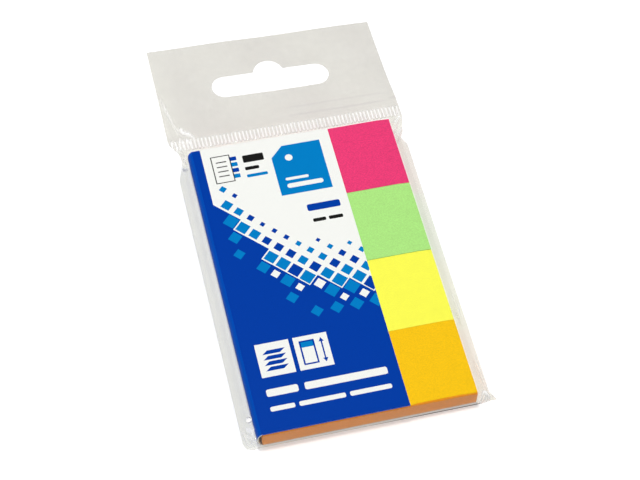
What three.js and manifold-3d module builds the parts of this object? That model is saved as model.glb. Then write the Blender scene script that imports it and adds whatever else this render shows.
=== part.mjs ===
// Sticky index tabs: four pads of coloured slips side by side in a folded card
// cover, sealed in a clear film bag with a crimped band and a hang slot.
// Millimetres, +Z up. The pack lies on its back: +Y runs towards the hang slot,
// and the card's spine is on the -X side.

import * as THREE from 'three';
import { mergeGeometries, mergeVertices } from 'three/addons/utils/BufferGeometryUtils.js';
import Module from 'manifold-3d';

const wasm = await Module();
wasm.setup();

// Pads
const slipLength = 50;
const slipWidth = 20;
const slipThickness = 0.115;
const slipsPerPad = 40;
const padColours = [
  ['pad_orange', 0xf7c00a],
  ['pad_yellow', 0xfdfd4e],
  ['pad_green', 0xa6eb7a],
  ['pad_pink', 0xee3a74],
];

// Card cover: back panel, bulging spine and front flap folded from one sheet
const cardThickness = 0.3;
const cardInset = 0.1;
const flapReach = 34;
const flapGap = 0.05;
const spineGap = 0.2;
const spineBulge = 0.95;

// Film bag
const filmThickness = 0.12;
const filmSlack = 0.1;
const sideClearance = 0.3;
const endClearance = 0.3;
const leftReach = 3.3;
const rightReach = 3.05;
const seamWidth = 0.3;
const foldReach = 0.85;
const cornerCut = 1.5;
const cornerLength = 1.3;
const earReach = 1.05;
const earLength = 2.2;
const earDrop = 0.6;
const flapStep = 0.25;

// Crimped band across the mouth, above the pack
const bandGap = 2.1;
const bandHeight = 3.3;
const bandLevel = 3;
const leftFlare = 0.65;
const rightFlare = 1.05;
const ribPitch = 0.95;
const ribWidth = 0.6;
const ribCrest = 0.25;
const ribHeight = 0.14;
const ribMargin = 1;

// Necks where the film is drawn in at the pack's upper corners
const leftNeck = 1.75;
const leftNeckLength = 7.5;
const rightNeck = 0.95;
const rightNeckPlace = 5;
const rightNeckLength = 5;

// Header with its hang slot
const headerHeight = 28.9;
const headerSkew = 0.3;
const headerTwist = 2.2;
const bandTwist = 0.9;
const slotWidth = 30.5;
const slotHeight = 6.75;
const slotBelowTop = 11.3;
const bumpWidth = 7.6;
const bumpHeight = 3.05;
const bumpFillet = 0.6;

// Vent hole through the film beside the spine's lower end
const ventRadius = 0.65;
const ventHeight = 4.5;

const stackWidth = slipWidth * padColours.length;
const padThickness = slipsPerPad * slipThickness;
const cardBottom = filmThickness + filmSlack;
const padBottom = cardBottom + cardThickness;
const flapBottom = padBottom + padThickness + flapGap;
const packTop = flapBottom + cardThickness;
const bagHeight = packTop + filmSlack + filmThickness;

const spineLeft = -(spineGap + cardThickness + spineBulge);
const foldY = -foldReach;
const bandBottom = stackWidth + bandGap;
const bandTop = bandBottom + bandHeight;
const headerTop = bandTop + headerHeight;
const leftSide = spineLeft - leftReach;
const rightSide = slipLength + rightReach;
const headerCentre = (leftSide - leftFlare + rightSide + headerSkew) / 2;

// A value that eases from one station to the next along the bag
function ease(t) {
  const s = Math.min(1, Math.max(0, t));
  return s * s * (3 - 2 * s);
}

function along(stations, y) {
  let value = stations[0][1];
  for (let i = 1; i < stations.length; i += 1) {
    const [y0, v0] = stations[i - 1];
    const [y1, v1] = stations[i];
    value += (v1 - v0) * ease((y - y0) / (y1 - y0));
  }
  return value;
}

// The bag's two long edges, seen from above
const leftEdge = [
  [foldY, leftSide + cornerCut],
  [foldY + cornerLength, leftSide],
  [stackWidth - leftNeckLength, leftSide],
  [stackWidth, leftSide + leftNeck],
  [bandTop, leftSide - leftFlare],
];
const rightEdge = [
  [foldY, rightSide + earReach],
  [foldY + earLength, rightSide],
  [stackWidth - rightNeckPlace - rightNeckLength / 2, rightSide],
  [stackWidth - rightNeckPlace, rightSide - rightNeck],
  [stackWidth - rightNeckPlace + rightNeckLength / 2, rightSide],
  [bandBottom, rightSide + rightFlare],
  [headerTop, rightSide + headerSkew],
];

// Mid-height of the film between its two sheets: half the pack's height round
// the pack, then the band's own level, with the header twisted about its length
function midHeight(u, y) {
  const start = stackWidth + endClearance;
  const rise = ease((y - start) / (bandBottom - start));
  const turn = ease((y - bandTop) / (headerTop - slotBelowTop - slotHeight - bandTop));
  const twist = bandTwist + (headerTwist - bandTwist) * turn;
  const level = bandLevel + twist * (0.5 - u);
  return bagHeight / 2 + (level - bagHeight / 2) * rise;
}

// Quarter-wave bulge of a sheet that leaves a seam and meets the pack
function bulge(t) {
  return Math.sin((Math.PI / 2) * Math.min(1, Math.max(0, t)));
}

// A closed surface through rows of points; each row runs over the upper sheet
// from left to right and back under the lower one
function loft(rows) {
  const ring = rows[0].length;
  const half = ring / 2;
  const position = rows.flat(2);
  const index = [];
  const quad = (a, b, c, d) => index.push(a, b, c, a, c, d);
  for (let r = 0; r + 1 < rows.length; r += 1) {
    for (let k = 0; k < ring; k += 1) {
      const next = (k + 1) % ring;
      const low = r * ring;
      const high = low + ring;
      quad(low + k, low + next, high + next, high + k);
    }
  }
  const last = (rows.length - 1) * ring;
  for (let k = 0; k + 1 < half; k += 1) {
    const under = ring - 1 - k;
    quad(k + 1, k, under, under - 1);
    quad(last + k, last + k + 1, last + under - 1, last + under);
  }
  const geometry = new THREE.BufferGeometry();
  geometry.setAttribute('position', new THREE.Float32BufferAttribute(position, 3));
  geometry.setIndex(index);
  return geometry;
}

// Places of the rows and columns, as shares of each stretch
const slopeShares = [0, 0.1, 0.25, 0.5, 1];
const foldShares = [0, 0.12, 0.3, 0.6, 1];
const cornerRows = 3;
const packRows = 6;
const neckRows = 9;
const shoulderRows = 5;
const headerRows = 9;
const flatColumns = 6;

// One skin of the bag, inset from the outline: the outer surface has no inset,
// the inner one leaves the film's thickness and the seams
function skin(inset, seam, rim, endY) {
  const fold = foldY + inset;
  const fullEnd = stackWidth + endClearance;
  const low = -endClearance;
  const rowsY = foldShares.map((s) => fold + (low - fold) * s);
  const stretch = (end, count) => {
    const start = rowsY[rowsY.length - 1];
    for (let i = 1; i <= count; i += 1) {
      rowsY.push(start + ((end - start) * i) / count);
    }
  };
  stretch(foldY + earLength, cornerRows);
  stretch(stackWidth - leftNeckLength, packRows);
  stretch(fullEnd, neckRows);
  stretch(endY, shoulderRows);
  if (inset === 0) {
    stretch(bandTop, 1);
    stretch(headerTop, headerRows);
  }

  return rowsY.map((y) => {
    const xLeft = along(leftEdge, y) + seam;
    const xRight = along(rightEdge, y) - seam;
    const packLeft = spineLeft - sideClearance;
    const packRight = slipLength + sideClearance;
    const slopeLeft = Math.max(packLeft - xLeft, filmThickness);
    const slopeRight = Math.max(xRight - packRight, filmThickness);
    const from = xLeft + slopeLeft;
    const to = xRight - slopeRight;
    const columns = slopeShares.map((s) => [xLeft + slopeLeft * s, bulge(s)]);
    for (let i = 1; i < flatColumns; i += 1) {
      columns.push([from + ((to - from) * i) / flatColumns, 1]);
    }
    slopeShares.forEach((s) => columns.push([to + slopeRight * s, bulge(1 - s)]));

    const full = bagHeight / 2 - inset;
    let swell = bulge((y - fold) / (low - fold));
    if (y > fullEnd) {
      swell = Math.max(0, 1 - (y - fullEnd) / (endY - fullEnd));
    }
    const ring = columns.map(([x, side]) => {
      const u = (x - xLeft) / (xRight - xLeft);
      const corner = ease((x - packRight) / (rightSide + earReach - packRight));
      const tail = 1 - ease((y - foldY) / earLength);
      const step = flapStep * ease((x - flapReach) / 2) * swell * side;
      const mid = midHeight(u, y);
      const half = rim + (full - rim) * swell * side;
      return { x, y: y - earDrop * corner * tail, top: mid + half - step, bottom: mid - half };
    });
    const over = ring.map((p) => [p.x, p.y, p.top]);
    const under = ring.map((p) => [p.x, p.y, p.bottom]).reverse();
    return over.concat(under);
  });
}

function toSolid(geometry) {
  const bare = geometry.clone();
  bare.deleteAttribute('normal');
  bare.deleteAttribute('uv');
  const merged = mergeVertices(bare, 1e-5);
  const mesh = new wasm.Mesh({
    numProp: 3,
    vertProperties: new Float32Array(merged.attributes.position.array),
    triVerts: new Uint32Array(merged.index.array),
  });
  return new wasm.Manifold(mesh);
}

function toGeometry(solid) {
  const mesh = solid.getMesh();
  const geometry = new THREE.BufferGeometry();
  geometry.setAttribute('position', new THREE.BufferAttribute(mesh.vertProperties, 3));
  geometry.setIndex(new THREE.BufferAttribute(mesh.triVerts, 1));
  return geometry;
}

// Ribs of the crimp: low prisms along Y, the upper ones half a pitch from the
// lower ones, as in a corrugated sheet
function ribs() {
  const left = along(leftEdge, bandBottom) + ribMargin;
  const right = along(rightEdge, bandBottom) - ribMargin;
  const count = Math.floor((right - left) / ribPitch);
  const prisms = [];
  for (let i = 0; i < count * 2; i += 1) {
    const side = i % 2 === 0 ? 1 : -1;
    const x = left + (i / 2 + 0.5) * ribPitch;
    const u = (x - left) / (right - left);
    const outline = new THREE.Shape();
    outline.moveTo(-ribWidth / 2, 0);
    outline.lineTo(ribWidth / 2, 0);
    outline.lineTo(ribCrest / 2, side * (filmThickness + ribHeight));
    outline.lineTo(-ribCrest / 2, side * (filmThickness + ribHeight));
    const prism = new THREE.ExtrudeGeometry(outline, { depth: bandHeight, bevelEnabled: false });
    prism.rotateX(Math.PI / 2);
    prism.translate(x, bandTop, midHeight(u, bandBottom));
    prisms.push(prism);
  }
  return mergeGeometries(prisms);
}

// Hang slot: round ends, and a bump for the hook at the middle of its upper edge
function slotCutter() {
  const r = slotHeight / 2;
  const straight = slotWidth / 2 - r;
  const foot = bumpWidth / 2;
  const bumpRadius = (foot * foot + bumpHeight * bumpHeight) / (2 * bumpHeight);
  const drop = bumpRadius - bumpHeight;
  const outline = new THREE.Shape();
  outline.moveTo(-straight, -r);
  outline.lineTo(straight, -r);
  outline.absarc(straight, 0, r, -Math.PI / 2, Math.PI / 2);
  outline.lineTo(foot + bumpFillet, r);
  const start = Math.asin(Math.min(1, (bumpFillet / 2 + drop) / bumpRadius));
  outline.quadraticCurveTo(
    foot, r,
    bumpRadius * Math.cos(start), r - drop + bumpRadius * Math.sin(start),
  );
  outline.absarc(0, r - drop, bumpRadius, start, Math.PI - start);
  outline.quadraticCurveTo(-foot, r, -foot - bumpFillet, r);
  outline.lineTo(-straight, r);
  outline.absarc(-straight, 0, r, Math.PI / 2, (Math.PI * 3) / 2);
  const depth = bagHeight * 2;
  const cutter = new THREE.ExtrudeGeometry(outline, {
    depth,
    bevelEnabled: false,
    curveSegments: 12,
  });
  cutter.translate(headerCentre, headerTop - slotBelowTop - r, (bagHeight - depth) / 2);
  return cutter;
}

function ventCutter() {
  const vent = new THREE.CylinderGeometry(ventRadius, ventRadius, bagHeight * 2, 16);
  vent.rotateX(Math.PI / 2);
  vent.translate(spineLeft - sideClearance - ventRadius, ventHeight, bagHeight / 2);
  return vent;
}

function bagGeometry() {
  const outer = toSolid(loft(skin(0, 0, filmThickness, bandBottom)));
  const mouth = bandBottom - endClearance;
  const inner = toSolid(loft(skin(filmThickness, seamWidth, filmThickness / 4, mouth)));
  const bag = outer
    .add(toSolid(ribs()))
    .subtract(inner)
    .subtract(toSolid(slotCutter()))
    .subtract(toSolid(ventCutter()));
  return toGeometry(bag);
}

// The cover's section in the XZ plane: back panel, spine and flap along one
// centre line, thickened to both sides
function coverGeometry() {
  const half = cardThickness / 2;
  const creaseX = -spineGap - half;
  const backZ = cardBottom + half;
  const frontZ = flapBottom + half;
  const rise = frontZ - backZ;
  const spine = new THREE.CubicBezierCurve(
    new THREE.Vector2(creaseX, backZ),
    new THREE.Vector2(creaseX - spineBulge * 1.3, backZ + rise * 0.25),
    new THREE.Vector2(creaseX - spineBulge * 1.4, backZ + rise * 0.85),
    new THREE.Vector2(creaseX, frontZ),
  );
  const line = [
    new THREE.Vector2(slipLength, backZ),
    ...spine.getPoints(12),
    new THREE.Vector2(flapReach, frontZ),
  ];
  const offset = (side) => line.map((p, i) => {
    const before = line[Math.max(0, i - 1)];
    const after = line[Math.min(line.length - 1, i + 1)];
    const into = p.clone().sub(before).normalize();
    const out = after.clone().sub(p).normalize();
    const along2 = into.clone().add(out).normalize();
    const cosine = i > 0 && i < line.length - 1 ? Math.max(0.6, along2.dot(out)) : 1;
    const reach = (side * half) / cosine;
    return new THREE.Vector2(p.x - along2.y * reach, p.y + along2.x * reach);
  });
  const section = new THREE.Shape([...offset(1), ...offset(-1).reverse()]);
  const depth = stackWidth - cardInset * 2;
  const cover = new THREE.ExtrudeGeometry(section, { depth, bevelEnabled: false });
  cover.rotateX(Math.PI / 2);
  cover.translate(0, stackWidth - cardInset, 0);
  return cover;
}

function material(colour, roughness) {
  return new THREE.MeshStandardMaterial({ color: colour, roughness, metalness: 0 });
}

const pack = new THREE.Group();

const film = material(0xe2e1da, 0.2);
film.transparent = true;
film.opacity = 0.3;
const bag = new THREE.Mesh(bagGeometry(), film);
bag.name = 'bag';
pack.add(bag);

const cover = new THREE.Mesh(coverGeometry(), material(0x003ca0, 0.45));
cover.name = 'card_cover';
pack.add(cover);

padColours.forEach(([name, colour], i) => {
  const block = new THREE.BoxGeometry(slipLength, slipWidth, padThickness);
  const pad = new THREE.Mesh(block, material(colour, 0.85));
  pad.name = name;
  pad.position.set(slipLength / 2, slipWidth * (i + 0.5), padBottom + padThickness / 2);
  pack.add(pad);
});

// The origin lies under the middle of the whole pack, on the surface it rests on
const box = new THREE.Box3().setFromObject(pack);
pack.position.set(-(box.min.x + box.max.x) / 2, -(box.min.y + box.max.y) / 2, -box.min.z);

export default pack;
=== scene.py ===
import math

import bmesh
import bpy
import numpy as np
from mathutils import Matrix, Vector
from mathutils.geometry import delaunay_2d_cdt


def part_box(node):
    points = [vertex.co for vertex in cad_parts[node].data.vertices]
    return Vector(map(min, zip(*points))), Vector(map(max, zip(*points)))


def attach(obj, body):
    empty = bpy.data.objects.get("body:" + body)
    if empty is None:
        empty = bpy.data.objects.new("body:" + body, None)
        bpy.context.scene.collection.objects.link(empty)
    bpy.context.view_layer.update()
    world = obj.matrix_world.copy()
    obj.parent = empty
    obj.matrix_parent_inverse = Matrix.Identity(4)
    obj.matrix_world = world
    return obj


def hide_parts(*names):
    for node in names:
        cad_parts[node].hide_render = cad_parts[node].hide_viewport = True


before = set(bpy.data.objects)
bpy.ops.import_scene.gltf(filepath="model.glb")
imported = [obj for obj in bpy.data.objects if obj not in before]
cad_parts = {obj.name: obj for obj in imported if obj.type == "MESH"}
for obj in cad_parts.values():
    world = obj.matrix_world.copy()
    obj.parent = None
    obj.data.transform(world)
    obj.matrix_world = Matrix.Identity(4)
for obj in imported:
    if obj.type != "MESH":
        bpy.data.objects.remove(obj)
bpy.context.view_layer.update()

# Sizes in millimetres. X = 0 at the pads' spine ends, Y = 0 at the lowest pad's
# lower side, Z = 0 on the surface that the pack lies on.
SLIP_LENGTH = 50.0
SLIP_WIDTH = 20.0
SLIPS = 40
SLIP_THICKNESS = 0.115
# How far a slip may stand out or back, the free ends hang, and the glued ends bulge
SLIP_SHIFT = 0.04
FREE_END_DROOP = 0.32
GLUED_END_BULGE = 0.35
CARD = 0.3
CARD_INSET = 0.1
FLAP_REACH = 34.0
FLAP_GAP = 0.05
SPINE_GAP = 0.2
SPINE_BULGE = 0.95
FILM = 0.12
SLACK = 0.1
SIDE_CLEARANCE = 0.3
END_CLEARANCE = 0.3

PACK = 4 * SLIP_WIDTH
PAD_HEIGHT = SLIPS * SLIP_THICKNESS
CARD_BOTTOM = FILM + SLACK
PAD_BOTTOM = CARD_BOTTOM + CARD
FLAP_BOTTOM = PAD_BOTTOM + PAD_HEIGHT + FLAP_GAP
BAG_HEIGHT = FLAP_BOTTOM + CARD + SLACK + FILM

SPINE_LEFT = -(SPINE_GAP + CARD + SPINE_BULGE)
LEFT_SIDE = SPINE_LEFT - 3.3
RIGHT_SIDE = SLIP_LENGTH + 3.05
FOLD_Y = -0.85
BAND_BOTTOM = PACK + 2.1
BAND_TOP = BAND_BOTTOM + 3.3
HEADER_TOP = BAND_TOP + 28.9
RIB_PITCH = 0.95
VENT_RADIUS = 0.65
VENT_FLOOR = 4.9
VENT = (SPINE_LEFT - SIDE_CLEARANCE - VENT_RADIUS, 4.5)

ORIGIN = np.array([*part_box("pad_orange")[0][:2], 0.0])


# Meshes
def smooth(t):
    """Eases from 0 to 1: 3t^2 - 2t^3 on the clamped share."""
    t = np.clip(t, 0.0, 1.0)
    return t * t * (3.0 - 2.0 * t)


def along(stations, y):
    """Eases from one station's value to the next along Y; a station is (y, value)."""
    value = np.full_like(y, stations[0][1])
    for (y0, v0), (y1, v1) in zip(stations, stations[1:]):
        value = value + (v1 - v0) * smooth((y - y0) / (y1 - y0))
    return value


def bulge(t):
    """Quarter of a sine wave on the clamped share."""
    return np.sin(0.5 * np.pi * np.clip(t, 0.0, 1.0))


def quads(rows, cols, start=0, wrap=False):
    """Faces of a grid of rows by cols points, row after row; wrap closes each row."""
    r = np.arange(rows - 1)[:, None]
    c = np.arange(cols if wrap else cols - 1)[None, :]
    n = (c + 1) % cols
    a = start + r * cols + c
    b = start + r * cols + n
    return np.stack([a, b, b + cols, a + cols], axis=-1).reshape(-1, 4)


def end_strips(rows, half):
    """Quads that close the two ends of a wrapped grid whose rows run out along one
    side and back along the other, half of the points each way."""
    k = np.arange(half - 1)
    under = 2 * half - 1 - k
    strip = np.stack([k, k + 1, under - 1, under], axis=-1)
    return np.concatenate([strip, strip + (rows - 1) * 2 * half])


def make(name, points, faces, flat=False):
    """A mesh object from points in millimetres and its faces."""
    mesh = bpy.data.meshes.new(name)
    xyz = np.asarray(points, dtype=float).reshape(-1, 3) * 0.001 + ORIGIN
    mesh.from_pydata(xyz.tolist(), [], [list(face) for face in faces])
    mesh.polygons.foreach_set("use_smooth", np.full(len(mesh.polygons), not flat))
    mesh.update()
    piece = bpy.data.objects.new(name, mesh)
    bpy.context.scene.collection.objects.link(piece)
    return piece


def weld(piece, reach=2e-6):
    """Merges points closer than reach, and turns all faces outwards."""
    work = bmesh.new()
    work.from_mesh(piece.data)
    bmesh.ops.remove_doubles(work, verts=work.verts, dist=reach)
    bmesh.ops.recalc_face_normals(work, faces=work.faces)
    work.to_mesh(piece.data)
    work.free()


def sharpen(piece, degrees):
    """Keeps edges steeper than the given angle crisp under smooth shading."""
    piece.data.set_sharp_from_angle(angle=math.radians(degrees))


def corners(piece):
    """The mesh's points as an array in millimetres of the pack's own frame."""
    xyz = np.empty(len(piece.data.vertices) * 3)
    piece.data.vertices.foreach_get("co", xyz)
    return (xyz.reshape(-1, 3) - ORIGIN) * 1000.0


def paint_corners(piece, colours):
    """Stores one linear RGBA ink per face corner for the card's material to read."""
    layer = piece.data.attributes.new("ink", "FLOAT_COLOR", "CORNER")
    layer.data.foreach_set("color", np.asarray(colours, dtype=np.float32).ravel())


def paint(piece, name, values):
    """Stores one number per point for a material to read."""
    layer = piece.data.attributes.new(name, "FLOAT", "POINT")
    layer.data.foreach_set("value", np.asarray(values, dtype=np.float32))


# Materials
def linear(code):
    """An sRGB hex colour as linear RGBA."""
    value = [int(code[i:i + 2], 16) / 255.0 for i in (1, 3, 5)]
    light = [v / 12.92 if v <= 0.04045 else ((v + 0.055) / 1.055) ** 2.4 for v in value]
    return (*light, 1.0)


def material(name):
    """A new material and its empty node tree."""
    made = bpy.data.materials.new(name)
    made.use_nodes = True
    made.node_tree.nodes.clear()
    return made, made.node_tree


def add(tree, kind, links=None, **settings):
    """Adds a shader node, sets its properties and sockets, and links its inputs."""
    node = tree.nodes.new("ShaderNode" + kind)
    for key, value in settings.items():
        if hasattr(node, key):
            setattr(node, key, value)
        else:
            node.inputs[key.replace("_", " ")].default_value = value
    for key, source in (links or {}).items():
        tree.links.new(source, node.inputs[key])
    return node


def dress(piece, made, node):
    """Gives a piece its material, and sets it on the body in its CAD node's place."""
    piece.data.materials.clear()
    piece.data.materials.append(made)
    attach(piece, "root")
    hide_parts(node)


def paper(name, top, rim, edge, grain):
    """Uncoated dyed wood-free paper, cut in a stack: matt, with a soft tooth of
    fibres, and the cut edges a little browner than the faces."""
    made, tree = material(name)
    where = add(tree, "TexCoord").outputs["Object"]
    # Fibre clumps of about 0.4 mm, coarser than single fibres so that they show
    clump = add(tree, "TexNoise", {"Vector": where}, Scale=2700.0, Detail=4.0,
                Roughness=0.62)
    # Wild marks a few millimetres long from the paper machine
    cloud = add(tree, "TexNoise", {"Vector": where}, Scale=380.0, Detail=2.0)
    spread = add(tree, "MapRange", {"Value": clump.outputs["Fac"]}, From_Min=0.3, From_Max=0.7,
                 To_Min=1.0 - 0.15 * grain, To_Max=1.0 + 0.09 * grain)
    drift = add(tree, "MapRange", {"Value": cloud.outputs["Fac"]}, From_Min=0.3, From_Max=0.7,
                To_Min=0.985, To_Max=1.015)
    tone = add(tree, "Math", {0: spread.outputs[0], 1: drift.outputs[0]}, operation="MULTIPLY")
    cut = add(tree, "Attribute", attribute_name="cut")
    # From the face over the first few slips' deeper coloured edges to the stack's side
    dye = add(tree, "ValToRGB", {"Fac": cut.outputs["Fac"]})
    dye.color_ramp.elements.new(0.5)
    for stop, colour in zip(dye.color_ramp.elements, (top, rim, edge)):
        stop.color = linear(colour)
    shade = add(tree, "VectorMath", {0: dye.outputs["Color"], 1: tone.outputs[0]},
                operation="MULTIPLY")
    tooth = add(tree, "Bump", {"Height": clump.outputs["Fac"]}, Strength=0.15, Distance=0.00002)
    skin = add(tree, "BsdfPrincipled", {"Base Color": shade.outputs[0], "Normal": tooth.outputs[0]},
               Roughness=0.88)
    skin.inputs["Specular IOR Level"].default_value = 0.25
    add(tree, "OutputMaterial", {"Surface": skin.outputs[0]})
    return made


# Pads
def pad(name, index, seed):
    """A stack of slips. The side wall is a rectangle's outline carried up through the
    slips: each slip stands out or back by a few hundredths of a millimetre, with a
    fine groove between slips. Top and base are grids over the same outline. The free
    end sinks by the height squared times an easing of x, and the glued end bulges by
    a power of the sine of the height."""
    y0 = index * SLIP_WIDTH
    nx, ny = 60, 20
    xs = np.linspace(0.0, SLIP_LENGTH, nx + 1)
    ys = np.linspace(0.0, SLIP_WIDTH, ny + 1)
    ring = np.concatenate([
        np.stack([xs[:-1], np.zeros(nx)], 1),
        np.stack([np.full(ny, SLIP_LENGTH), ys[:-1]], 1),
        np.stack([xs[:0:-1], np.full(nx, SLIP_WIDTH)], 1),
        np.stack([np.zeros(ny), ys[:0:-1]], 1),
    ])
    rng = np.random.default_rng(seed)
    shift = rng.uniform(-0.035, 0.035, (SLIPS, 2))
    shift = shift + np.cumsum(rng.normal(0, 0.008, (SLIPS, 2)), 0)
    shift[:, 1] = np.clip(shift[:, 1], -0.05, 0.05) * 0.4
    shift = np.clip(shift, -SLIP_SHIFT, SLIP_SHIFT)
    middle = np.array([SLIP_LENGTH / 2, SLIP_WIDTH / 2])

    def front_round(x, z):
        """The pack's lower edge is rubbed round over its topmost slips, most of all
        where the flap doesn't cover it."""
        depth = 0.12 + 0.30 * smooth((x - FLAP_REACH) / 2)
        return (index == 0) * depth * max(0.0, (z / PAD_HEIGHT - 0.88) / 0.12) ** 1.5

    def layer(outline, k, z, inset=0.0):
        """One slip's outline or face, moved by its own shift, at a height."""
        flat = middle + (outline - middle) * (1.0 - (SLIP_SHIFT + inset) / middle) + shift[k]
        flat[:, 1] += front_round(outline[:, 0], z) * (outline[:, 1] == 0)
        return np.column_stack([flat, np.full(len(flat), z)])

    # Heights and insets of one slip's edge, with its groove at both faces
    rows = []
    for k in range(SLIPS):
        for share, inset in ((0.06, 0.035), (0.3, 0.0), (0.7, 0.0), (0.94, 0.035)):
            z = (k + share) * SLIP_THICKNESS
            if (k == 0 and share < 0.1) or (k == SLIPS - 1 and share > 0.9):
                z = round(z / PAD_HEIGHT) * PAD_HEIGHT
                inset = 0.0
            rows.append(layer(ring, k, z, inset))
    side = np.array(rows)
    gx, gy = np.meshgrid(xs, ys)
    grid = np.stack([gx.ravel(), gy.ravel()], 1)
    top = layer(grid, SLIPS - 1, PAD_HEIGHT)
    base = layer(grid, 0, 0.0)
    points = np.concatenate([side.reshape(-1, 3), top, base])
    n_side = side.shape[0] * side.shape[1]
    faces = np.concatenate([
        quads(side.shape[0], side.shape[1], wrap=True),
        quads(ny + 1, nx + 1, n_side),
        quads(ny + 1, nx + 1, n_side + len(top))[:, ::-1],
    ])
    # The glued ends follow the spine's bulge
    height = points[:, 2] / PAD_HEIGHT
    swell = np.sin(np.pi * np.clip(height, 0, 1)) ** 0.4
    points[:, 0] -= GLUED_END_BULGE * swell * (1 - smooth(points[:, 0] / 3.0))
    droop = FREE_END_DROOP * smooth((points[:, 0] - (SLIP_LENGTH - 4.5)) / 5.5) ** 1.4
    points[:, 2] -= droop * height ** 2
    points += [0.0, y0, PAD_BOTTOM]
    piece = make(name, points, faces)
    weld(piece)
    sharpen(piece, 32)
    # 0 on the face, 0.5 on the topmost slips' edges, 1 on the side below them; the
    # drooping end counts as high as the rest
    x, _, z = corners(piece).T
    height = (z - PAD_BOTTOM) / PAD_HEIGHT + 0.07 * smooth((x - 45.0) / 5.0)
    paint(piece, "cut", np.interp(height, [0.88, 0.91, 0.985, 0.99], [1.0, 0.5, 0.5, 0.0]))
    return piece


# Fluorescent dyed slips: face, topmost edges, side, seed and strength of the grain.
# The sides show the paper's own fibre and take the dye less
PADS = (
    ("orange", "#FBC704", "#FFA01E", "#FFAE60", 11, 0.75),
    ("yellow", "#FDFC52", "#ECEB3A", "#DADB4C", 12, 0.4),
    ("green", "#AEE983", "#93DC62", "#8FCB6A", 13, 0.75),
    ("pink", "#EF3B78", "#E8306A", "#CF3A68", 14, 1.3),
)
for i, (colour, face_hex, rim_hex, side_hex, seed, grain) in enumerate(PADS):
    dyed = paper(f"dyed_paper_{colour}", face_hex, rim_hex, side_hex, grain)
    dress(pad(f"slips_{colour}", i, seed), dyed, f"pad_{colour}")

# Card cover
# The spine ink is a painted highlight: a lighter blue than the dark field, for the light that falls
# on the cover's rounded spine
INKS = {"white": "#F5F6F2", "dark": "#003CA4", "mid": "#007EC6", "black": "#1B1B1A",
        "spine": "#004EBA"}
CREASE_X = -(SPINE_GAP + CARD / 2)
INK_STAND = 0.012


def spine_curve(count):
    """The cover's centre line round the pads' ends: a cubic curve that leaves the
    back crease, bulges out and comes back to the front crease."""
    z0 = CARD_BOTTOM + CARD / 2
    z1 = FLAP_BOTTOM + CARD / 2
    rise = z1 - z0
    p = np.array([
        [CREASE_X, z0],
        [CREASE_X - SPINE_BULGE * 1.3, z0 + rise * 0.25],
        [CREASE_X - SPINE_BULGE * 1.4, z0 + rise * 0.85],
        [CREASE_X, z1],
    ])
    t = np.linspace(0.0, 1.0, count)[:, None]
    return ((1 - t) ** 3 * p[0] + 3 * t * (1 - t) ** 2 * p[1]
            + 3 * t ** 2 * (1 - t) * p[2] + t ** 3 * p[3])


def cover_body():
    """The folded card: its centre line thickened to both sides and carried along Y."""
    spine = spine_curve(33)
    back = np.linspace((SLIP_LENGTH, spine[0, 1]), spine[0], 12)
    flap = np.linspace(spine[-1], (FLAP_REACH, spine[-1, 1]), 12)
    centre = np.concatenate([back[:-1], spine, flap[1:]])
    step = np.gradient(centre, axis=0)
    step /= np.linalg.norm(step, axis=1)[:, None]
    normal = np.column_stack([-step[:, 1], step[:, 0]]) * CARD / 2
    section = np.concatenate([centre + normal, (centre - normal)[::-1]])
    ys = np.linspace(CARD_INSET, PACK - CARD_INSET, 60)
    points = np.empty((len(ys), len(section), 3))
    points[:, :, 0] = section[:, 0]
    points[:, :, 1] = ys[:, None]
    points[:, :, 2] = section[:, 1]
    sides = quads(len(ys), len(section), wrap=True)
    piece = make("cover_card", points, np.concatenate([sides, end_strips(len(ys), len(centre))]))
    weld(piece)
    sharpen(piece, 40)
    # Outside of the fold printed blue, in the spine ink, a lighter blue than the flap's dark field
    # that is a painted highlight for the light falling on the rounded spine; the cut ends and the
    # inside left white
    mesh = piece.data
    middle = np.empty(len(mesh.polygons) * 3)
    facing = np.empty(len(mesh.polygons) * 3)
    mesh.polygons.foreach_get("center", middle)
    mesh.polygons.foreach_get("normal", facing)
    x, _, z = ((middle.reshape(-1, 3) - ORIGIN) * 1000.0).T
    face_x, face_y, face_z = facing.reshape(-1, 3).T
    outside = (x < CREASE_X + 0.3) & (np.abs(face_y) < 0.5) & (z > CARD_BOTTOM + 0.2)
    outside &= (face_x < -0.05) | (face_z > 0.9) & (z > FLAP_BOTTOM + 0.2)
    # The flap's lower cut edge, white card in itself, takes the same lighter blue as the spine
    outside |= (x > CREASE_X) & (z > FLAP_BOTTOM - 0.05) & (face_y < -0.5)
    table = np.array([linear(INKS["white"]), linear(INKS["spine"])])
    loops = np.empty(len(mesh.polygons), dtype=np.int32)
    mesh.polygons.foreach_get("loop_total", loops)
    paint_corners(piece, np.repeat(table[outside.astype(int)], loops, axis=0))
    return piece


def arc(cx, cy, radius, start, end, count=24):
    """Points on a circle from one angle to another."""
    a = np.linspace(start, end, count)
    return np.column_stack([cx + radius * np.cos(a), cy + radius * np.sin(a)])


def panel(x0, x1, y0, y1, radius=0.0):
    """A rectangle's outline, with rounded corners when a radius is given."""
    if not radius:
        return [(x0, y0), (x1, y0), (x1, y1), (x0, y1)]
    outline = []
    for cx, cy, start in ((x1 - radius, y0 + radius, -90), (x1 - radius, y1 - radius, 0),
                          (x0 + radius, y1 - radius, 90), (x0 + radius, y0 + radius, 180)):
        for turn in range(0, 91, 15):
            a = math.radians(start + turn)
            outline.append((cx + radius * math.cos(a), cy + radius * math.sin(a)))
    return outline


def diamond(cx, cy, half):
    """A square's outline standing on one corner."""
    return [(cx + half, cy), (cx, cy + half), (cx - half, cy), (cx, cy - half)]


def disc(cx, cy, radius, count=24):
    """A circle's outline."""
    return [tuple(p) for p in arc(cx, cy, radius, 0, 2 * np.pi, count + 1)[:-1]]


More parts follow.
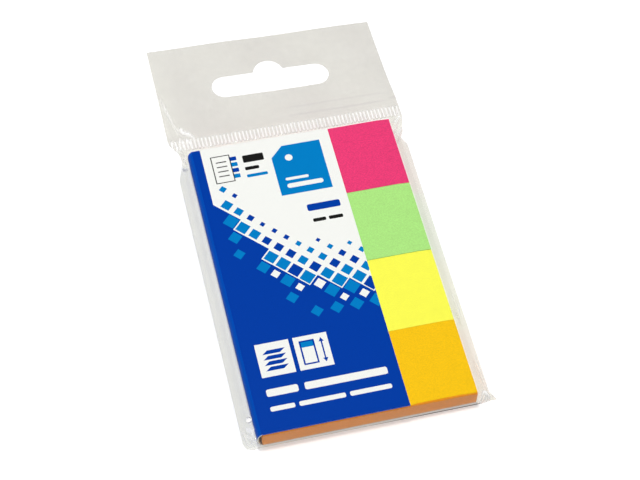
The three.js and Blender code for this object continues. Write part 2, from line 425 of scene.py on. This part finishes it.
def cover_shapes():
    """The flap's generic design in printing order, as outlines with their inks: a
    dark field that breaks up into diamonds, and plain shapes and bars in place of
    a label, icons and lettering."""
    edge = CARD_INSET + 0.01
    shapes = [("white", panel(CREASE_X - 0.1, FLAP_REACH - 0.01, edge, PACK - edge))]

    def put(ink, *outlines):
        shapes.extend((ink, outline) for outline in outlines)

    # A lattice of diamonds 4.8 mm across: solid below the field's edge, with lighter
    # ones let into it, and shrinking with the distance above it
    half = 2.4
    strip, field = 1.6, 24.6
    random = np.random.default_rng(21)
    for i in range(-1, 16):
        for j in range(-1, 35):
            draw, choice = random.random(2)
            if (i + j) % 2:
                continue
            cx, cy = i * half, j * half
            above = cy - float(np.interp(cx, [0, 5, 12, 20, 34], [66, 58, 44, 37, 33]))
            if above <= 0:
                put("dark", diamond(cx, cy, half))
                # Let-in diamonds stay whole: clear of the two plain fields
                clear = cx > strip + half and cy > field + half
                if above > -12 and clear and i % 2 == 0 and draw < 0.85:
                    put("mid", diamond(cx, cy, half * (0.88 + 0.025 * above)))
                elif above > -8 and clear and draw < 0.6:
                    put("white", diamond(cx, cy, half * (0.66 + 0.045 * above)))
            elif above < 12.5 and cx > 3.5:
                ink = "mid" if choice < 0.5 else "dark"
                put(ink, diamond(cx, cy, half * (0.88 - 0.05 * above)))
    put("dark", panel(-1, 34.5, -1, field), panel(-1, strip, 24, 81))
    # Label with one corner cut, a hole and a bar
    put("mid", [(18.4, 62.3), (31.2, 62.3), (31.2, 77), (21.6, 77), (18.4, 73.8)])
    put("white", disc(22.6, 73.2, 0.95))
    put("white", panel(20.4, 29.4, 64.2, 65.5, 0.6), panel(20.4, 26.2, 66.5, 67.3, 0.4))
    # Bars beside it
    put("black", panel(11.4, 16.6, 73.9, 76.1, 0.3), panel(11.4, 14.9, 71.6, 72.6, 0.3))
    put("mid", panel(11.4, 16.6, 69.4, 70.3, 0.3))
    # Page with four tabs standing out at its side
    for k, ink in enumerate(("mid", "dark", "mid", "dark")):
        put(ink, panel(7.6, 9.9, 69.9 + 1.75 * k, 71.1 + 1.75 * k, 0.2))
    put("black", panel(3.6, 8.4, 69.0, 77.2))
    put("white", panel(3.85, 8.15, 69.25, 76.95))
    put("black", *[panel(4.7, 7.3, y, y + 0.3) for y in (70.9, 72.3, 73.7, 75.1)])
    # Bars in place of a word and a number
    put("dark", panel(23.6, 31.8, 56.5, 58.5, 0.5))
    put("black", panel(24.2, 27.4, 53.2, 54.2, 0.3), panel(28.1, 31.6, 53.2, 54.2, 0.3))
    # White panels: a stack of slips, and one slip with its width and length marked
    put("white", panel(2.8, 10.8, 14.1, 22.9), panel(11.8, 19.8, 14.1, 22.9))
    for k in range(4):
        y = 15.6 + 1.45 * k
        put("dark", [(4.1, y), (8.3, y), (9.6, y + 1.0), (5.4, y + 1.0)])
    put("dark", panel(13.0, 16.6, 15.3, 21.7))
    put("white", panel(13.4, 16.2, 15.7, 21.3))
    put("mid", panel(13.4, 16.2, 19.9, 21.3))
    put("dark", panel(18.025, 18.375, 15.625, 21.375))
    put("dark", [(18.2, 15.2), (18.8, 16.3), (17.6, 16.3)])
    put("dark", [(18.2, 21.8), (17.6, 20.7), (18.8, 20.7)])
    # Bars in place of two lines of lettering
    put("white", panel(2.9, 10.3, 9.1, 11.0, 0.5), panel(11.8, 31.2, 9.1, 11.0, 0.5))
    for x0, x1 in ((2.9, 8.6), (9.6, 20.4), (21.4, 31.2)):
        put("white", panel(x0, x1, 5.3, 6.5, 0.4))
    return shapes


def cover_print():
    """The flap's printed face, laid just over the card: the plane is split along
    every shape's outline, and each part takes the ink of the last shape over it."""
    shapes = cover_shapes()
    points, loops = [], []
    for _, outline in shapes:
        loops.append(list(range(len(points), len(points) + len(outline))))
        points.extend(Vector(p) for p in outline)
    flat, _, faces, _, _, covers = delaunay_2d_cdt(points, [], loops, 1, 1e-4, True)
    kept = [(list(face), max(over)) for face, over in zip(faces, covers) if 0 in over]
    points = [(p[0], p[1], FLAP_BOTTOM + CARD + INK_STAND) for p in flat]
    piece = make("cover_print", points, [face for face, _ in kept], flat=True)
    work = bmesh.new()
    work.from_mesh(piece.data)
    bmesh.ops.delete(work, geom=[v for v in work.verts if not v.link_faces], context="VERTS")
    work.to_mesh(piece.data)
    work.free()
    paint_corners(piece, [linear(INKS[shapes[over][0]]) for face, over in kept for _ in face])
    # Ink and varnish have a thickness of their own, so the piece is closed
    coat = piece.modifiers.new("coat", "SOLIDIFY")
    coat.thickness = 0.00001
    coat.offset = -1.0
    return piece


def coated_card(name):
    """Coated printed card: smooth, with a light varnish sheen over flat inks."""
    made, tree = material(name)
    where = add(tree, "TexCoord").outputs["Object"]
    fibre = add(tree, "TexNoise", {"Vector": where}, Scale=1500.0, Detail=3.0)
    tone = add(tree, "MapRange", {"Value": fibre.outputs["Fac"]}, From_Min=0.3, From_Max=0.7,
               To_Min=0.985, To_Max=1.01)
    ink = add(tree, "Attribute", attribute_name="ink")
    shade = add(tree, "VectorMath", {0: ink.outputs["Color"], 1: tone.outputs[0]},
                operation="MULTIPLY")
    tooth = add(tree, "Bump", {"Height": fibre.outputs["Fac"]}, Strength=0.08, Distance=0.00001)
    skin = add(tree, "BsdfPrincipled", {"Base Color": shade.outputs[0], "Normal": tooth.outputs[0]},
               Roughness=0.42)
    skin.inputs["Specular IOR Level"].default_value = 0.015
    add(tree, "OutputMaterial", {"Surface": skin.outputs[0]})
    return made


dress(cover_body(), coated_card("coated_card_body"), "card_cover")
dress(cover_print(), coated_card("coated_card_print"), "card_cover")

# Film bag
LEFT_EDGE = (
    (FOLD_Y, LEFT_SIDE + 0.6),
    (FOLD_Y + 1.3, LEFT_SIDE),
    (PACK - 7.5, LEFT_SIDE),
    (PACK, LEFT_SIDE + 1.75),
    (BAND_TOP, LEFT_SIDE - 0.65),
)
RIGHT_EDGE = (
    (FOLD_Y, RIGHT_SIDE + 1.05),
    (FOLD_Y + 2.2, RIGHT_SIDE),
    (PACK - 7.5, RIGHT_SIDE),
    (PACK - 5.0, RIGHT_SIDE - 0.95),
    (PACK - 2.5, RIGHT_SIDE),
    (BAND_BOTTOM, RIGHT_SIDE + 1.05),
    (HEADER_TOP, RIGHT_SIDE + 0.3),
)
SLOT_WIDTH = 30.5
SLOT_HEIGHT = 6.75
SLOT_BELOW_TOP = 11.3
SLOT_CENTRE = ((LEFT_EDGE[-1][1] + RIGHT_EDGE[-1][1]) / 2,
               HEADER_TOP - SLOT_BELOW_TOP - SLOT_HEIGHT / 2)
# How far both lower corners reach down past the fold between them
CORNER_DROP = 0.6

# Folds in the film: start, end, half width, height and whitening, which is painted glare along the
# fold (millimetres, share)
CREASES = (
    # Gathered film at the band's left end
    ((-1.6, 89.1), (-1.2, 87.4), 0.34, 0.16, 1.0),
    ((-1.3, 87.5), (0.2, 86.9), 0.36, 0.14, 1.0),
    ((0.0, 87.2), (1.2, 85.5), 0.26, 0.12, 0.9),
    ((-0.8, 85.6), (0.2, 83.6), 0.30, 0.14, 0.9),
    ((-2.5, 86.2), (-1.4, 83.2), 0.20, 0.16, 0.6),
    ((-4.6, 97.0), (-2.4, 87.6), 0.30, 0.18, 0.25),
    ((-5.3, 100.3), (-3.4, 91.5), 0.22, -0.14, 0.25),
    ((-4.6, 85.6), (-2.0, 81.4), 0.24, 0.20, 0.35),
    ((-3.7, 82.2), (-1.9, 80.4), 0.20, -0.16, 0.30),
    # Left side, from the pack's corner down
    ((-1.8, 79.0), (-3.2, 77.3), 0.18, 0.18, 0.9),
    # Right end of the band and the pack's corner
    ((53.9, 81.4), (52.4, 80.1), 0.18, 0.18, 1.0),
    ((52.5, 80.2), (51.2, 78.5), 0.20, 0.16, 1.0),
    ((53.4, 83.6), (51.6, 80.9), 0.18, -0.12, 0.25),
    ((53.0, 77.9), (51.3, 75.2), 0.18, 0.12, 0.6),
    ((51.0, 77.5), (50.7, 75.0), 0.16, 0.08, 0.5),
    # Right side and the ear at its lower end
    ((51.2, 25.6), (51.9, 22.8), 0.18, 0.12, 0.7),
    ((52.2, 10.5), (52.7, 1.5), 0.20, 0.12, 0.35),
    ((51.7, 0.4), (50.6, -0.8), 0.20, 0.10, 1.0),
    ((51.6, 0.3), (52.5, -1.2), 0.22, 0.12, 1.0),
    ((51.6, 0.2), (51.7, -1.5), 0.20, 0.08, 1.0),
    ((52.8, 1.6), (53.7, -0.6), 0.18, -0.10, 0.3),
    # Folded corner at the lower left
    ((-4.3, 3.2), (-3.6, 0.7), 0.18, 0.12, 0.35),
    ((-3.7, 0.9), (-2.3, -0.5), 0.18, 0.12, 0.4),
    ((-1.2, 2.4), (-2.5, 1.1), 0.16, 0.10, 0.5),
    ((-2.5, 1.2), (-1.7, -0.5), 0.16, 0.08, 0.3),
)


def mid_height(u, y):
    """Height of the film between its sheets: half the pack's height, easing to the
    band's level, with a twist about the header's length."""
    start = PACK + END_CLEARANCE
    rise = smooth((y - start) / (BAND_BOTTOM - start))
    turn = smooth((y - BAND_TOP) / (HEADER_TOP - SLOT_BELOW_TOP - SLOT_HEIGHT - BAND_TOP))
    level = 3.0 + (0.9 + 1.3 * turn) * (0.5 - u)
    return BAG_HEIGHT / 2 + (level - BAG_HEIGHT / 2) * rise


def ridges(x, y, item):
    """Sum of the creases: each is its item (3 height, 4 whitening, the painted glare) times
    exp(-(distance / width)^1.3), fading at both ends of its line."""
    total = np.zeros_like(x)
    for crease in CREASES:
        (x0, y0), (x1, y1), width = crease[:3]
        dx, dy = x1 - x0, y1 - y0
        length = math.hypot(dx, dy)
        t = ((x - x0) * dx + (y - y0) * dy) / length ** 2
        off = np.abs((x - x0) * dy - (y - y0) * dx) / length
        fade = smooth((t + 0.1) / 0.3) * smooth((1.2 - t) / 0.3)
        total = total + crease[item] * fade * np.exp(-(off / width) ** 1.3)
    return total


def film_rows():
    """The bag's upper and lower sheets as two grids of points. Across, the sheet
    leaves the side seam in a quarter wave and lies flat over the pack; along, it
    rises from the bottom fold, slopes down past the pack's top to the crimped band
    and runs on as the header."""
    y = np.concatenate([
        FOLD_Y + (-END_CLEARANCE - FOLD_Y) * np.array([0, 0.05, 0.14, 0.3, 0.55, 0.8, 1.0]),
        np.linspace(-END_CLEARANCE, FOLD_Y + 2.6, 9)[1:],
        np.linspace(FOLD_Y + 2.6, VENT[1] - 0.9, 4)[1:],
        np.linspace(VENT[1] - 0.9, VENT[1] + 0.9, 11)[1:],
        np.linspace(VENT[1] + 0.9, PACK - 8.5, 24)[1:],
        np.linspace(PACK - 8.5, PACK + END_CLEARANCE, 22)[1:],
        np.linspace(PACK + END_CLEARANCE, BAND_BOTTOM - 0.1, 7)[1:],
        np.linspace(BAND_BOTTOM - 0.1, BAND_TOP + 0.1, 13)[1:],
        np.linspace(BAND_TOP + 0.1, BAND_TOP + 8.0, 16)[1:],
        np.linspace(BAND_TOP + 8.0, HEADER_TOP, 12)[1:],
    ])
    slope = np.array([0.0, 0.02, *np.arange(0.05, 1.01, 0.05)])
    pack_left = SPINE_LEFT - SIDE_CLEARANCE
    pack_right = SLIP_LENGTH + SIDE_CLEARANCE
    # Over the pack the columns keep step with the ribs, four to each
    quarter = RIB_PITCH / 4
    first, last = math.ceil(pack_left / quarter + 0.2), math.floor(pack_right / quarter - 0.2)
    flat = np.arange(first, last + 1) * quarter
    y_col = y[:, None]
    x_left = along(LEFT_EDGE, y_col)
    x_right = along(RIGHT_EDGE, y_col)
    x = np.concatenate([
        x_left + (pack_left - x_left) * slope,
        np.broadcast_to(flat, (len(y), len(flat))),
        pack_right + (x_right - pack_right) * slope,
    ], axis=1)
    side = np.concatenate([bulge(slope), np.ones(len(flat)), bulge(1 - slope)])[None, :]
    yy = np.broadcast_to(y_col, x.shape)
    # Share of the full height: up from the bottom fold, down again past the pack's top
    full_end = PACK + END_CLEARANCE
    fall = np.clip(1 - (yy - full_end) / (BAND_BOTTOM - full_end), 0, 1)
    swell = np.where(yy > full_end, fall, bulge((yy - FOLD_Y) / (-END_CLEARANCE - FOLD_Y)))
    u = (x - x_left) / (x_right - x_left)
    mid = mid_height(u, yy)
    rim = 0.04
    half = rim + (BAG_HEIGHT / 2 - rim) * swell * side
    # Past the flap's edge the upper sheet steps down onto the slips
    step = 0.25 * smooth((x - FLAP_REACH) / 2) * swell * side
    # Crimp: both sheets follow one wave across the band, fading at its two borders
    window = smooth((yy - BAND_BOTTOM) / 0.3) * smooth((BAND_TOP - yy) / 0.3)
    crimp = 0.06 * np.sin(2 * np.pi * x / RIB_PITCH) * window
    loose = 1 - swell * side
    fold = ridges(x, yy, 3) * loose * smooth((BAND_TOP + 3 - yy) / 3)
    # Header: one slow wave, ripples over the band's right half, folds at the left edge
    up = yy - BAND_TOP
    wave = 0.10 * np.sin(x * 0.21 + yy * 0.32) * smooth(up / 6)
    ripple = 0.05 * np.sin(up * 2.1 + np.sin(x * 0.16) * 2.2 + x * 0.12)
    ripple = ripple * smooth((x - 22) / 12) * smooth(up / 1.5) * smooth((8 - up) / 4)
    margin = 0.06 * np.sin((x - LEFT_SIDE) * 2.9 + 0.4 * np.sin(yy * 0.35))
    margin = margin * smooth((4.5 - (x - LEFT_SIDE)) / 3) * smooth(up / 2)
    # Long folds down the two side fins
    fin = 0.07 * np.sin(u * 150 + 1.1 * np.sin(yy * 0.11) + 0.5 * np.sin(yy * 0.37)) * loose
    fin = fin * smooth((yy - 1.0) / 5.0) * smooth((PACK - 4.0 - yy) / 6.0)
    ear = smooth((x - pack_right) / (RIGHT_EDGE[0][1] - pack_right))
    heel = smooth((-0.6 - x) / 3.4)
    y_out = yy - CORNER_DROP * (ear + heel) * (1 - smooth((yy - FOLD_Y) / 2.2))
    shared = crimp + wave + ripple + margin + fin * (1 - half / (BAG_HEIGHT / 2))
    lower = np.maximum(mid - half + shared + fold * (mid - half > 0.4), 0.0)
    upper = np.minimum(mid + half - step + shared + fold, BAG_HEIGHT)
    upper = np.maximum(upper, lower + 0.02)
    return np.stack([x, y_out, upper], -1), np.stack([x, y_out, lower], -1)


def film_bag():
    """Both sheets joined round their rim into one closed envelope."""
    upper, lower = film_rows()
    rows, cols = upper.shape[:2]
    loop = np.concatenate([upper, lower[:, ::-1]], axis=1)
    faces = np.concatenate([quads(rows, 2 * cols, wrap=True), end_strips(rows, cols)])
    piece = make("film_bag", loop, faces)
    weld(piece, 1e-7)
    return piece


def prism(name, outline, z0, z1):
    """A flat outline carried from one height to another, with both ends closed."""
    n = len(outline)
    points = np.concatenate([
        np.column_stack([outline, np.full(n, z0)]),
        np.column_stack([outline, np.full(n, z1)]),
    ])
    ends = [range(n - 1, -1, -1), range(n, 2 * n)]
    return make(name, points, [*quads(2, n, wrap=True), *ends])


def slot_outline():
    """A slot with round ends and, at the middle of its upper edge, a round bump for
    the hook with small fillets at its feet."""
    r = SLOT_HEIGHT / 2
    straight = SLOT_WIDTH / 2 - r
    foot, bump, fillet = 7.6 / 2, 3.05, 0.6
    radius = (foot ** 2 + bump ** 2) / (2 * bump)
    drop = radius - bump
    start = math.asin((fillet / 2 + drop) / radius)
    bump_start = np.array([radius * math.cos(start), r - drop + radius * math.sin(start)])

    def ease_corner(a, b, c):
        """A quadratic curve from a to c, drawn towards b."""
        t = np.linspace(0, 1, 6)[:, None]
        return (1 - t) ** 2 * np.array(a) + 2 * t * (1 - t) * np.array(b) + t ** 2 * np.array(c)

    right = ease_corner((foot + fillet, r), (foot, r), bump_start)
    left = right[::-1] * [-1, 1]
    loop = np.concatenate([
        arc(straight, 0, r, -np.pi / 2, np.pi / 2),
        right[:-1],
        arc(0, r - drop, radius, start, np.pi - start, 30),
        left[1:],
        arc(-straight, 0, r, np.pi / 2, 1.5 * np.pi),
    ])
    return loop + np.array(SLOT_CENTRE)


def cut(piece, cutter):
    """Cuts one closed piece out of another and keeps the result in the mesh."""
    tool = piece.modifiers.new("cut", "BOOLEAN")
    tool.operation = "DIFFERENCE"
    tool.solver = "EXACT"
    tool.object = cutter
    bpy.context.view_layer.update()
    graph = bpy.context.evaluated_depsgraph_get()
    mesh = bpy.data.meshes.new_from_object(piece.evaluated_get(graph))
    piece.modifiers.clear()
    piece.data = mesh
    bpy.data.objects.remove(cutter)


def clear_film():
    """Cast polypropylene film: clear, very smooth and glossy, faintly warm grey where
    two loose sheets are seen, nearly unseen where it clings to the pack, whitened where
    it is crimped, with painted glare along its creases and a painted contact shadow in
    its bottom fold."""
    made, tree = material("clear_polypropylene_film")
    where = add(tree, "TexCoord").outputs["Object"]
    cling_and_shadow = add(tree, "Attribute", attribute_name="cling_and_shadow").outputs["Fac"]
    crease = add(tree, "Attribute", attribute_name="crease").outputs["Fac"]
    band = add(tree, "Attribute", attribute_name="band").outputs["Fac"]
    # Crimp ribs, one each 0.95 mm: the sealed crests scatter the light
    across = add(tree, "SeparateXYZ", {"Vector": where}).outputs["X"]
    phase = add(tree, "Math", {0: across}, operation="MULTIPLY_ADD")
    phase.inputs[1].default_value = 2000.0 * math.pi / RIB_PITCH
    phase.inputs[2].default_value = -2000.0 * math.pi / RIB_PITCH * float(ORIGIN[0])
    crest = add(tree, "Math", {0: phase.outputs[0]}, operation="SINE")
    bar = add(tree, "MapRange", {"Value": crest.outputs[0]}, interpolation_type="SMOOTHSTEP",
              From_Min=-0.3, From_Max=0.45, To_Min=0.04, To_Max=0.72)
    rib = add(tree, "Math", {0: bar.outputs[0], 1: band}, operation="MULTIPLY")
    # Fine draw lines along the film's length, about 0.8 mm apart
    stretch = add(tree, "Mapping", {"Vector": where}, Scale=(1.0, 0.06, 0.3))
    lines = add(tree, "TexNoise", {"Vector": stretch.outputs[0]}, Scale=1200.0, Detail=3.0)
    # Slow unevenness of a loose film, about 6 mm
    slow = add(tree, "TexNoise", {"Vector": where}, Scale=160.0, Detail=2.0)
    height = add(tree, "Math", {0: lines.outputs["Fac"], 1: slow.outputs["Fac"]}, operation="ADD")
    bump = add(tree, "Bump", {"Height": height.outputs[0]}, Strength=0.3, Distance=0.00006)
    # Light let through one sheet: a painted contact shadow in the bottom fold, then header, side
    # fins, film on the pack
    tint = add(tree, "ValToRGB", {"Fac": cling_and_shadow})
    tint.color_ramp.elements.new(0.6)
    tint.color_ramp.elements.new(0.2)
    stops = ((0.09, 0.085, 0.085), (0.778, 0.762, 0.748), (0.884, 0.882, 0.842),
             (0.995, 0.995, 0.99))
    for stop, share in zip(tint.color_ramp.elements, stops):
        stop.color = (*share, 1.0)
    through = add(tree, "BsdfTransparent", {"Color": tint.outputs[0]})
    haze = add(tree, "BsdfDiffuse", {"Normal": bump.outputs[0]}, Color=(1.0, 0.995, 0.98, 1.0))
    cloud = add(tree, "MapRange", {"Value": slow.outputs["Fac"]}, From_Min=0.35, From_Max=0.65,
                To_Min=0.0, To_Max=0.075)
    free = add(tree, "Math", {1: cling_and_shadow}, operation="SUBTRACT")
    free.inputs[0].default_value = 1.0
    mist = add(tree, "Math", {0: cloud.outputs[0], 1: free.outputs[0]}, operation="MULTIPLY")
    milk = add(tree, "Math", {0: rib.outputs[0], 1: mist.outputs[0]}, operation="ADD")
    milk = add(tree, "Math", {0: milk.outputs[0], 1: crease}, operation="ADD", use_clamp=True)
    body = add(tree, "MixShader", {0: milk.outputs[0], 1: through.outputs[0], 2: haze.outputs[0]})
    gloss = add(tree, "BsdfGlossy", {"Normal": bump.outputs[0]}, Roughness=0.08,
                Color=(1.0, 1.0, 1.0, 1.0))
    # Schlick's curve on the facing share, the same for both sides of the thin sheet
    facing = add(tree, "LayerWeight", {"Normal": bump.outputs[0]}, Blend=0.5)
    steep = add(tree, "Math", {0: facing.outputs["Facing"]}, operation="POWER")
    steep.inputs[1].default_value = 5.0
    mirror = add(tree, "MapRange", {"Value": steep.outputs[0]}, To_Min=0.025, To_Max=0.55)
    # No mirror in the bottom fold, so that its painted contact shadow stays as dark as the
    # photograph shows it
    calm = add(tree, "MapRange", {"Value": cling_and_shadow}, From_Max=0.2, To_Min=0.05, To_Max=1.0)
    mirror = add(tree, "Math", {0: mirror.outputs[0], 1: calm.outputs[0]}, operation="MULTIPLY")
    whole = add(tree, "MixShader", {0: mirror.outputs[0], 1: body.outputs[0], 2: gloss.outputs[0]})
    add(tree, "OutputMaterial", {"Surface": whole.outputs[0]})
    return made


def mark_film(piece):
    """Stores what the film's material reads: cling, from the painted contact shadow in the bottom
    fold at 0 over the loose header and fins to the film lying on the pack at 1; crease, a whitening
    along creases that is painted glare, with a painted catch light at the vent; and band, 1 in the
    crimped band."""
    x, y, z = corners(piece).T
    over = smooth((x - SPINE_LEFT + 0.45) / 0.5) * smooth((SLIP_LENGTH + 0.4 - x) / 0.6)
    over *= smooth((y + 0.5) / 0.6) * smooth((PACK + 0.4 - y) / 0.5)
    # The header has faint cloudy drifts and, above the band at its right, a few wavy
    # lines; the single fins are clearer
    up = y - BAND_TOP
    drift = 0.03 * np.sin(x * 0.23 + y * 0.11) + 0.10 * smooth((2.0 - x) / 7) * smooth(up / 3)
    wave = np.sin(up * 2.4 + 0.9 * np.sin(x * 0.16) - x * 0.10)
    lines = smooth((wave - 0.8) / 0.2) * smooth((x - 18) / 14)
    lines *= smooth((up - 0.4) / 0.6) * smooth((8 - up) / 5)
    fins = np.where(x < SLIP_LENGTH / 2, 0.50, 0.46)
    loose = np.where(y > BAND_BOTTOM, 0.25 + drift - 0.16 * lines, fins)
    from_vent = np.hypot(x - VENT[0], y - VENT[1])
    loose[from_vent < VENT_RADIUS + 0.05] = 1.0
    cling_and_shadow = 0.2 + 0.8 * np.maximum(over, loose)
    # Painted contact shadow: the film in the bottom fold is darkened to a fine dark line, stronger
    # to the right
    painted_contact_shadow = smooth((1.3 - z) / 0.5) * smooth((-0.02 - y) / 0.15) * smooth((52.5 - x) / 2)
    cling_and_shadow *= 1 - painted_contact_shadow * np.interp(x, [0.0, 14.0, 38.0], [0.1, 0.45, 1.0])
    paint(piece, "cling_and_shadow", cling_and_shadow)
    # Painted glare: the creases' whitening stands in for highlights along the folds
    crease = np.clip(ridges(x, y, 4), 0, 1) * (1 - over)
    # Painted catch light: the vent's punched edge and floor are whitened
    crease[(from_vent < VENT_RADIUS + 0.02) & (z > 4.0)] = 0.95
    paint(piece, "crease", crease)
    paint(piece, "band", smooth((y - BAND_BOTTOM) / 0.3) * smooth((BAND_TOP - y) / 0.3))


bag = film_bag()
cut(bag, prism("slot_tool", slot_outline(), -5.0, 12.0))
cut(bag, prism("vent_tool", disc(*VENT, VENT_RADIUS), VENT_FLOOR, 12.0))
mark_film(bag)
bag.data.polygons.foreach_set("use_smooth", np.full(len(bag.data.polygons), True))
sharpen(bag, 50)
# Thin clear film dims the light behind it too little to throw a shadow
bag.visible_shadow = False
bag.visible_diffuse = False
dress(bag, clear_film(), "bag")


# Floor and lights
def pale_floor():
    """Matt white paper sweep: white to the eye, and it keeps the pack's shadow."""
    made, tree = material("white_paper_sweep")
    ray = add(tree, "LightPath")
    seen = add(tree, "Math", {0: ray.outputs["Is Camera Ray"], 1: ray.outputs["Is Glossy Ray"]},
               operation="MAXIMUM")
    seen = add(tree, "Math", {0: seen.outputs[0], 1: ray.outputs["Is Transmission Ray"]},
               operation="MAXIMUM")
    power = add(tree, "Math", {0: seen.outputs[0]}, operation="MULTIPLY")
    power.inputs[1].default_value = 0.30
    matt = add(tree, "BsdfDiffuse", Color=(0.80, 0.80, 0.80, 1.0))
    glow = add(tree, "Emission", {"Strength": power.outputs[0]}, Color=(1.0, 1.0, 1.0, 1.0))
    both = add(tree, "AddShader", {0: matt.outputs[0], 1: glow.outputs[0]})
    add(tree, "OutputMaterial", {"Surface": both.outputs[0]})
    return made


# Just under the pack, 6 m square
floor_mesh = bpy.data.meshes.new("floor")
floor_mesh.from_pydata([(x, y, -0.00005) for x, y in panel(-3, 3, -3, 3)], [], [(0, 1, 2, 3)])
floor = bpy.data.objects.new("floor", floor_mesh)
bpy.context.scene.collection.objects.link(floor)
floor.data.materials.append(pale_floor())


def studio_air():
    """The room: white to the camera, soft light on the pack, and dark to reflections,
    which then show the lamps while the printed blues stay deep."""
    world = bpy.data.worlds.new("studio")
    bpy.context.scene.world = world
    world.use_nodes = True
    sky = world.node_tree
    sky.nodes.clear()
    ray = add(sky, "LightPath")
    level = add(sky, "MapRange", {"Value": ray.outputs["Is Camera Ray"]}, To_Min=0.28, To_Max=1.0)
    dark = add(sky, "MapRange", {"Value": ray.outputs["Is Glossy Ray"]}, To_Min=1.0, To_Max=0.06)
    strength = add(sky, "Math", {0: level.outputs[0], 1: dark.outputs[0]}, operation="MULTIPLY")
    air = add(sky, "Background", {"Strength": strength.outputs[0]}, Color=(1.0, 1.0, 1.0, 1.0))
    add(sky, "OutputWorld", {"Surface": air.outputs[0]})


def softbox(name, place, target, width, height, power):
    """A soft rectangular lamp at a place, turned to a target, in metres and watts."""
    light = bpy.data.lights.new(name, "AREA")
    light.shape = "RECTANGLE"
    light.size = width
    light.size_y = height
    light.energy = power
    lamp = bpy.data.objects.new(name, light)
    lamp.location = place
    lamp.rotation_euler = (Vector(target) - Vector(place)).to_track_quat("-Z", "Y").to_euler()
    bpy.context.scene.collection.objects.link(lamp)


def photo_camera():
    """The camera, fitted to the pads' and cover's edges in the photograph: focal
    length in its pixels, the directions of its right side and view, and its place."""
    lens = bpy.data.cameras.new("camera")
    lens.sensor_width = 36.0
    lens.lens = 1761.6 / 640 * lens.sensor_width
    lens.clip_start = 0.01
    lens.clip_end = 20.0
    camera = bpy.data.objects.new("camera", lens)
    right = Vector((0.97172, -0.23402, 0.03139)).normalized()
    back = -Vector((0.15411, 0.52786, -0.83523)).normalized()
    up = back.cross(right).normalized()
    turn = Matrix((up.cross(back), up, back)).transposed().to_4x4()
    place = Vector((-0.040481, -0.174563, 0.356885 + PAD_BOTTOM * 0.001)) + Vector(ORIGIN)
    camera.matrix_world = Matrix.Translation(place) @ turn
    bpy.context.scene.collection.objects.link(camera)
    bpy.context.scene.camera = camera


studio_air()
# A small lamp overhead for the fine contact shadow, and two broad ones from the sides
softbox("key_top", (-0.05, 0.15, 0.90), (0.0, 0.0, 0.0), 0.12, 0.12, 4.2)
softbox("key_left", (-0.60, 0.36, 0.72), (0.0, 0.0, 0.0), 0.9, 0.9, 2.7)
softbox("fill_right", (0.62, -0.48, 0.50), (0.0, 0.0, 0.0), 0.7, 0.7, 2.2)
photo_camera()

bpy.context.scene.view_settings.view_transform = "Standard"
bpy.context.scene.cycles.transparent_max_bounces = 24
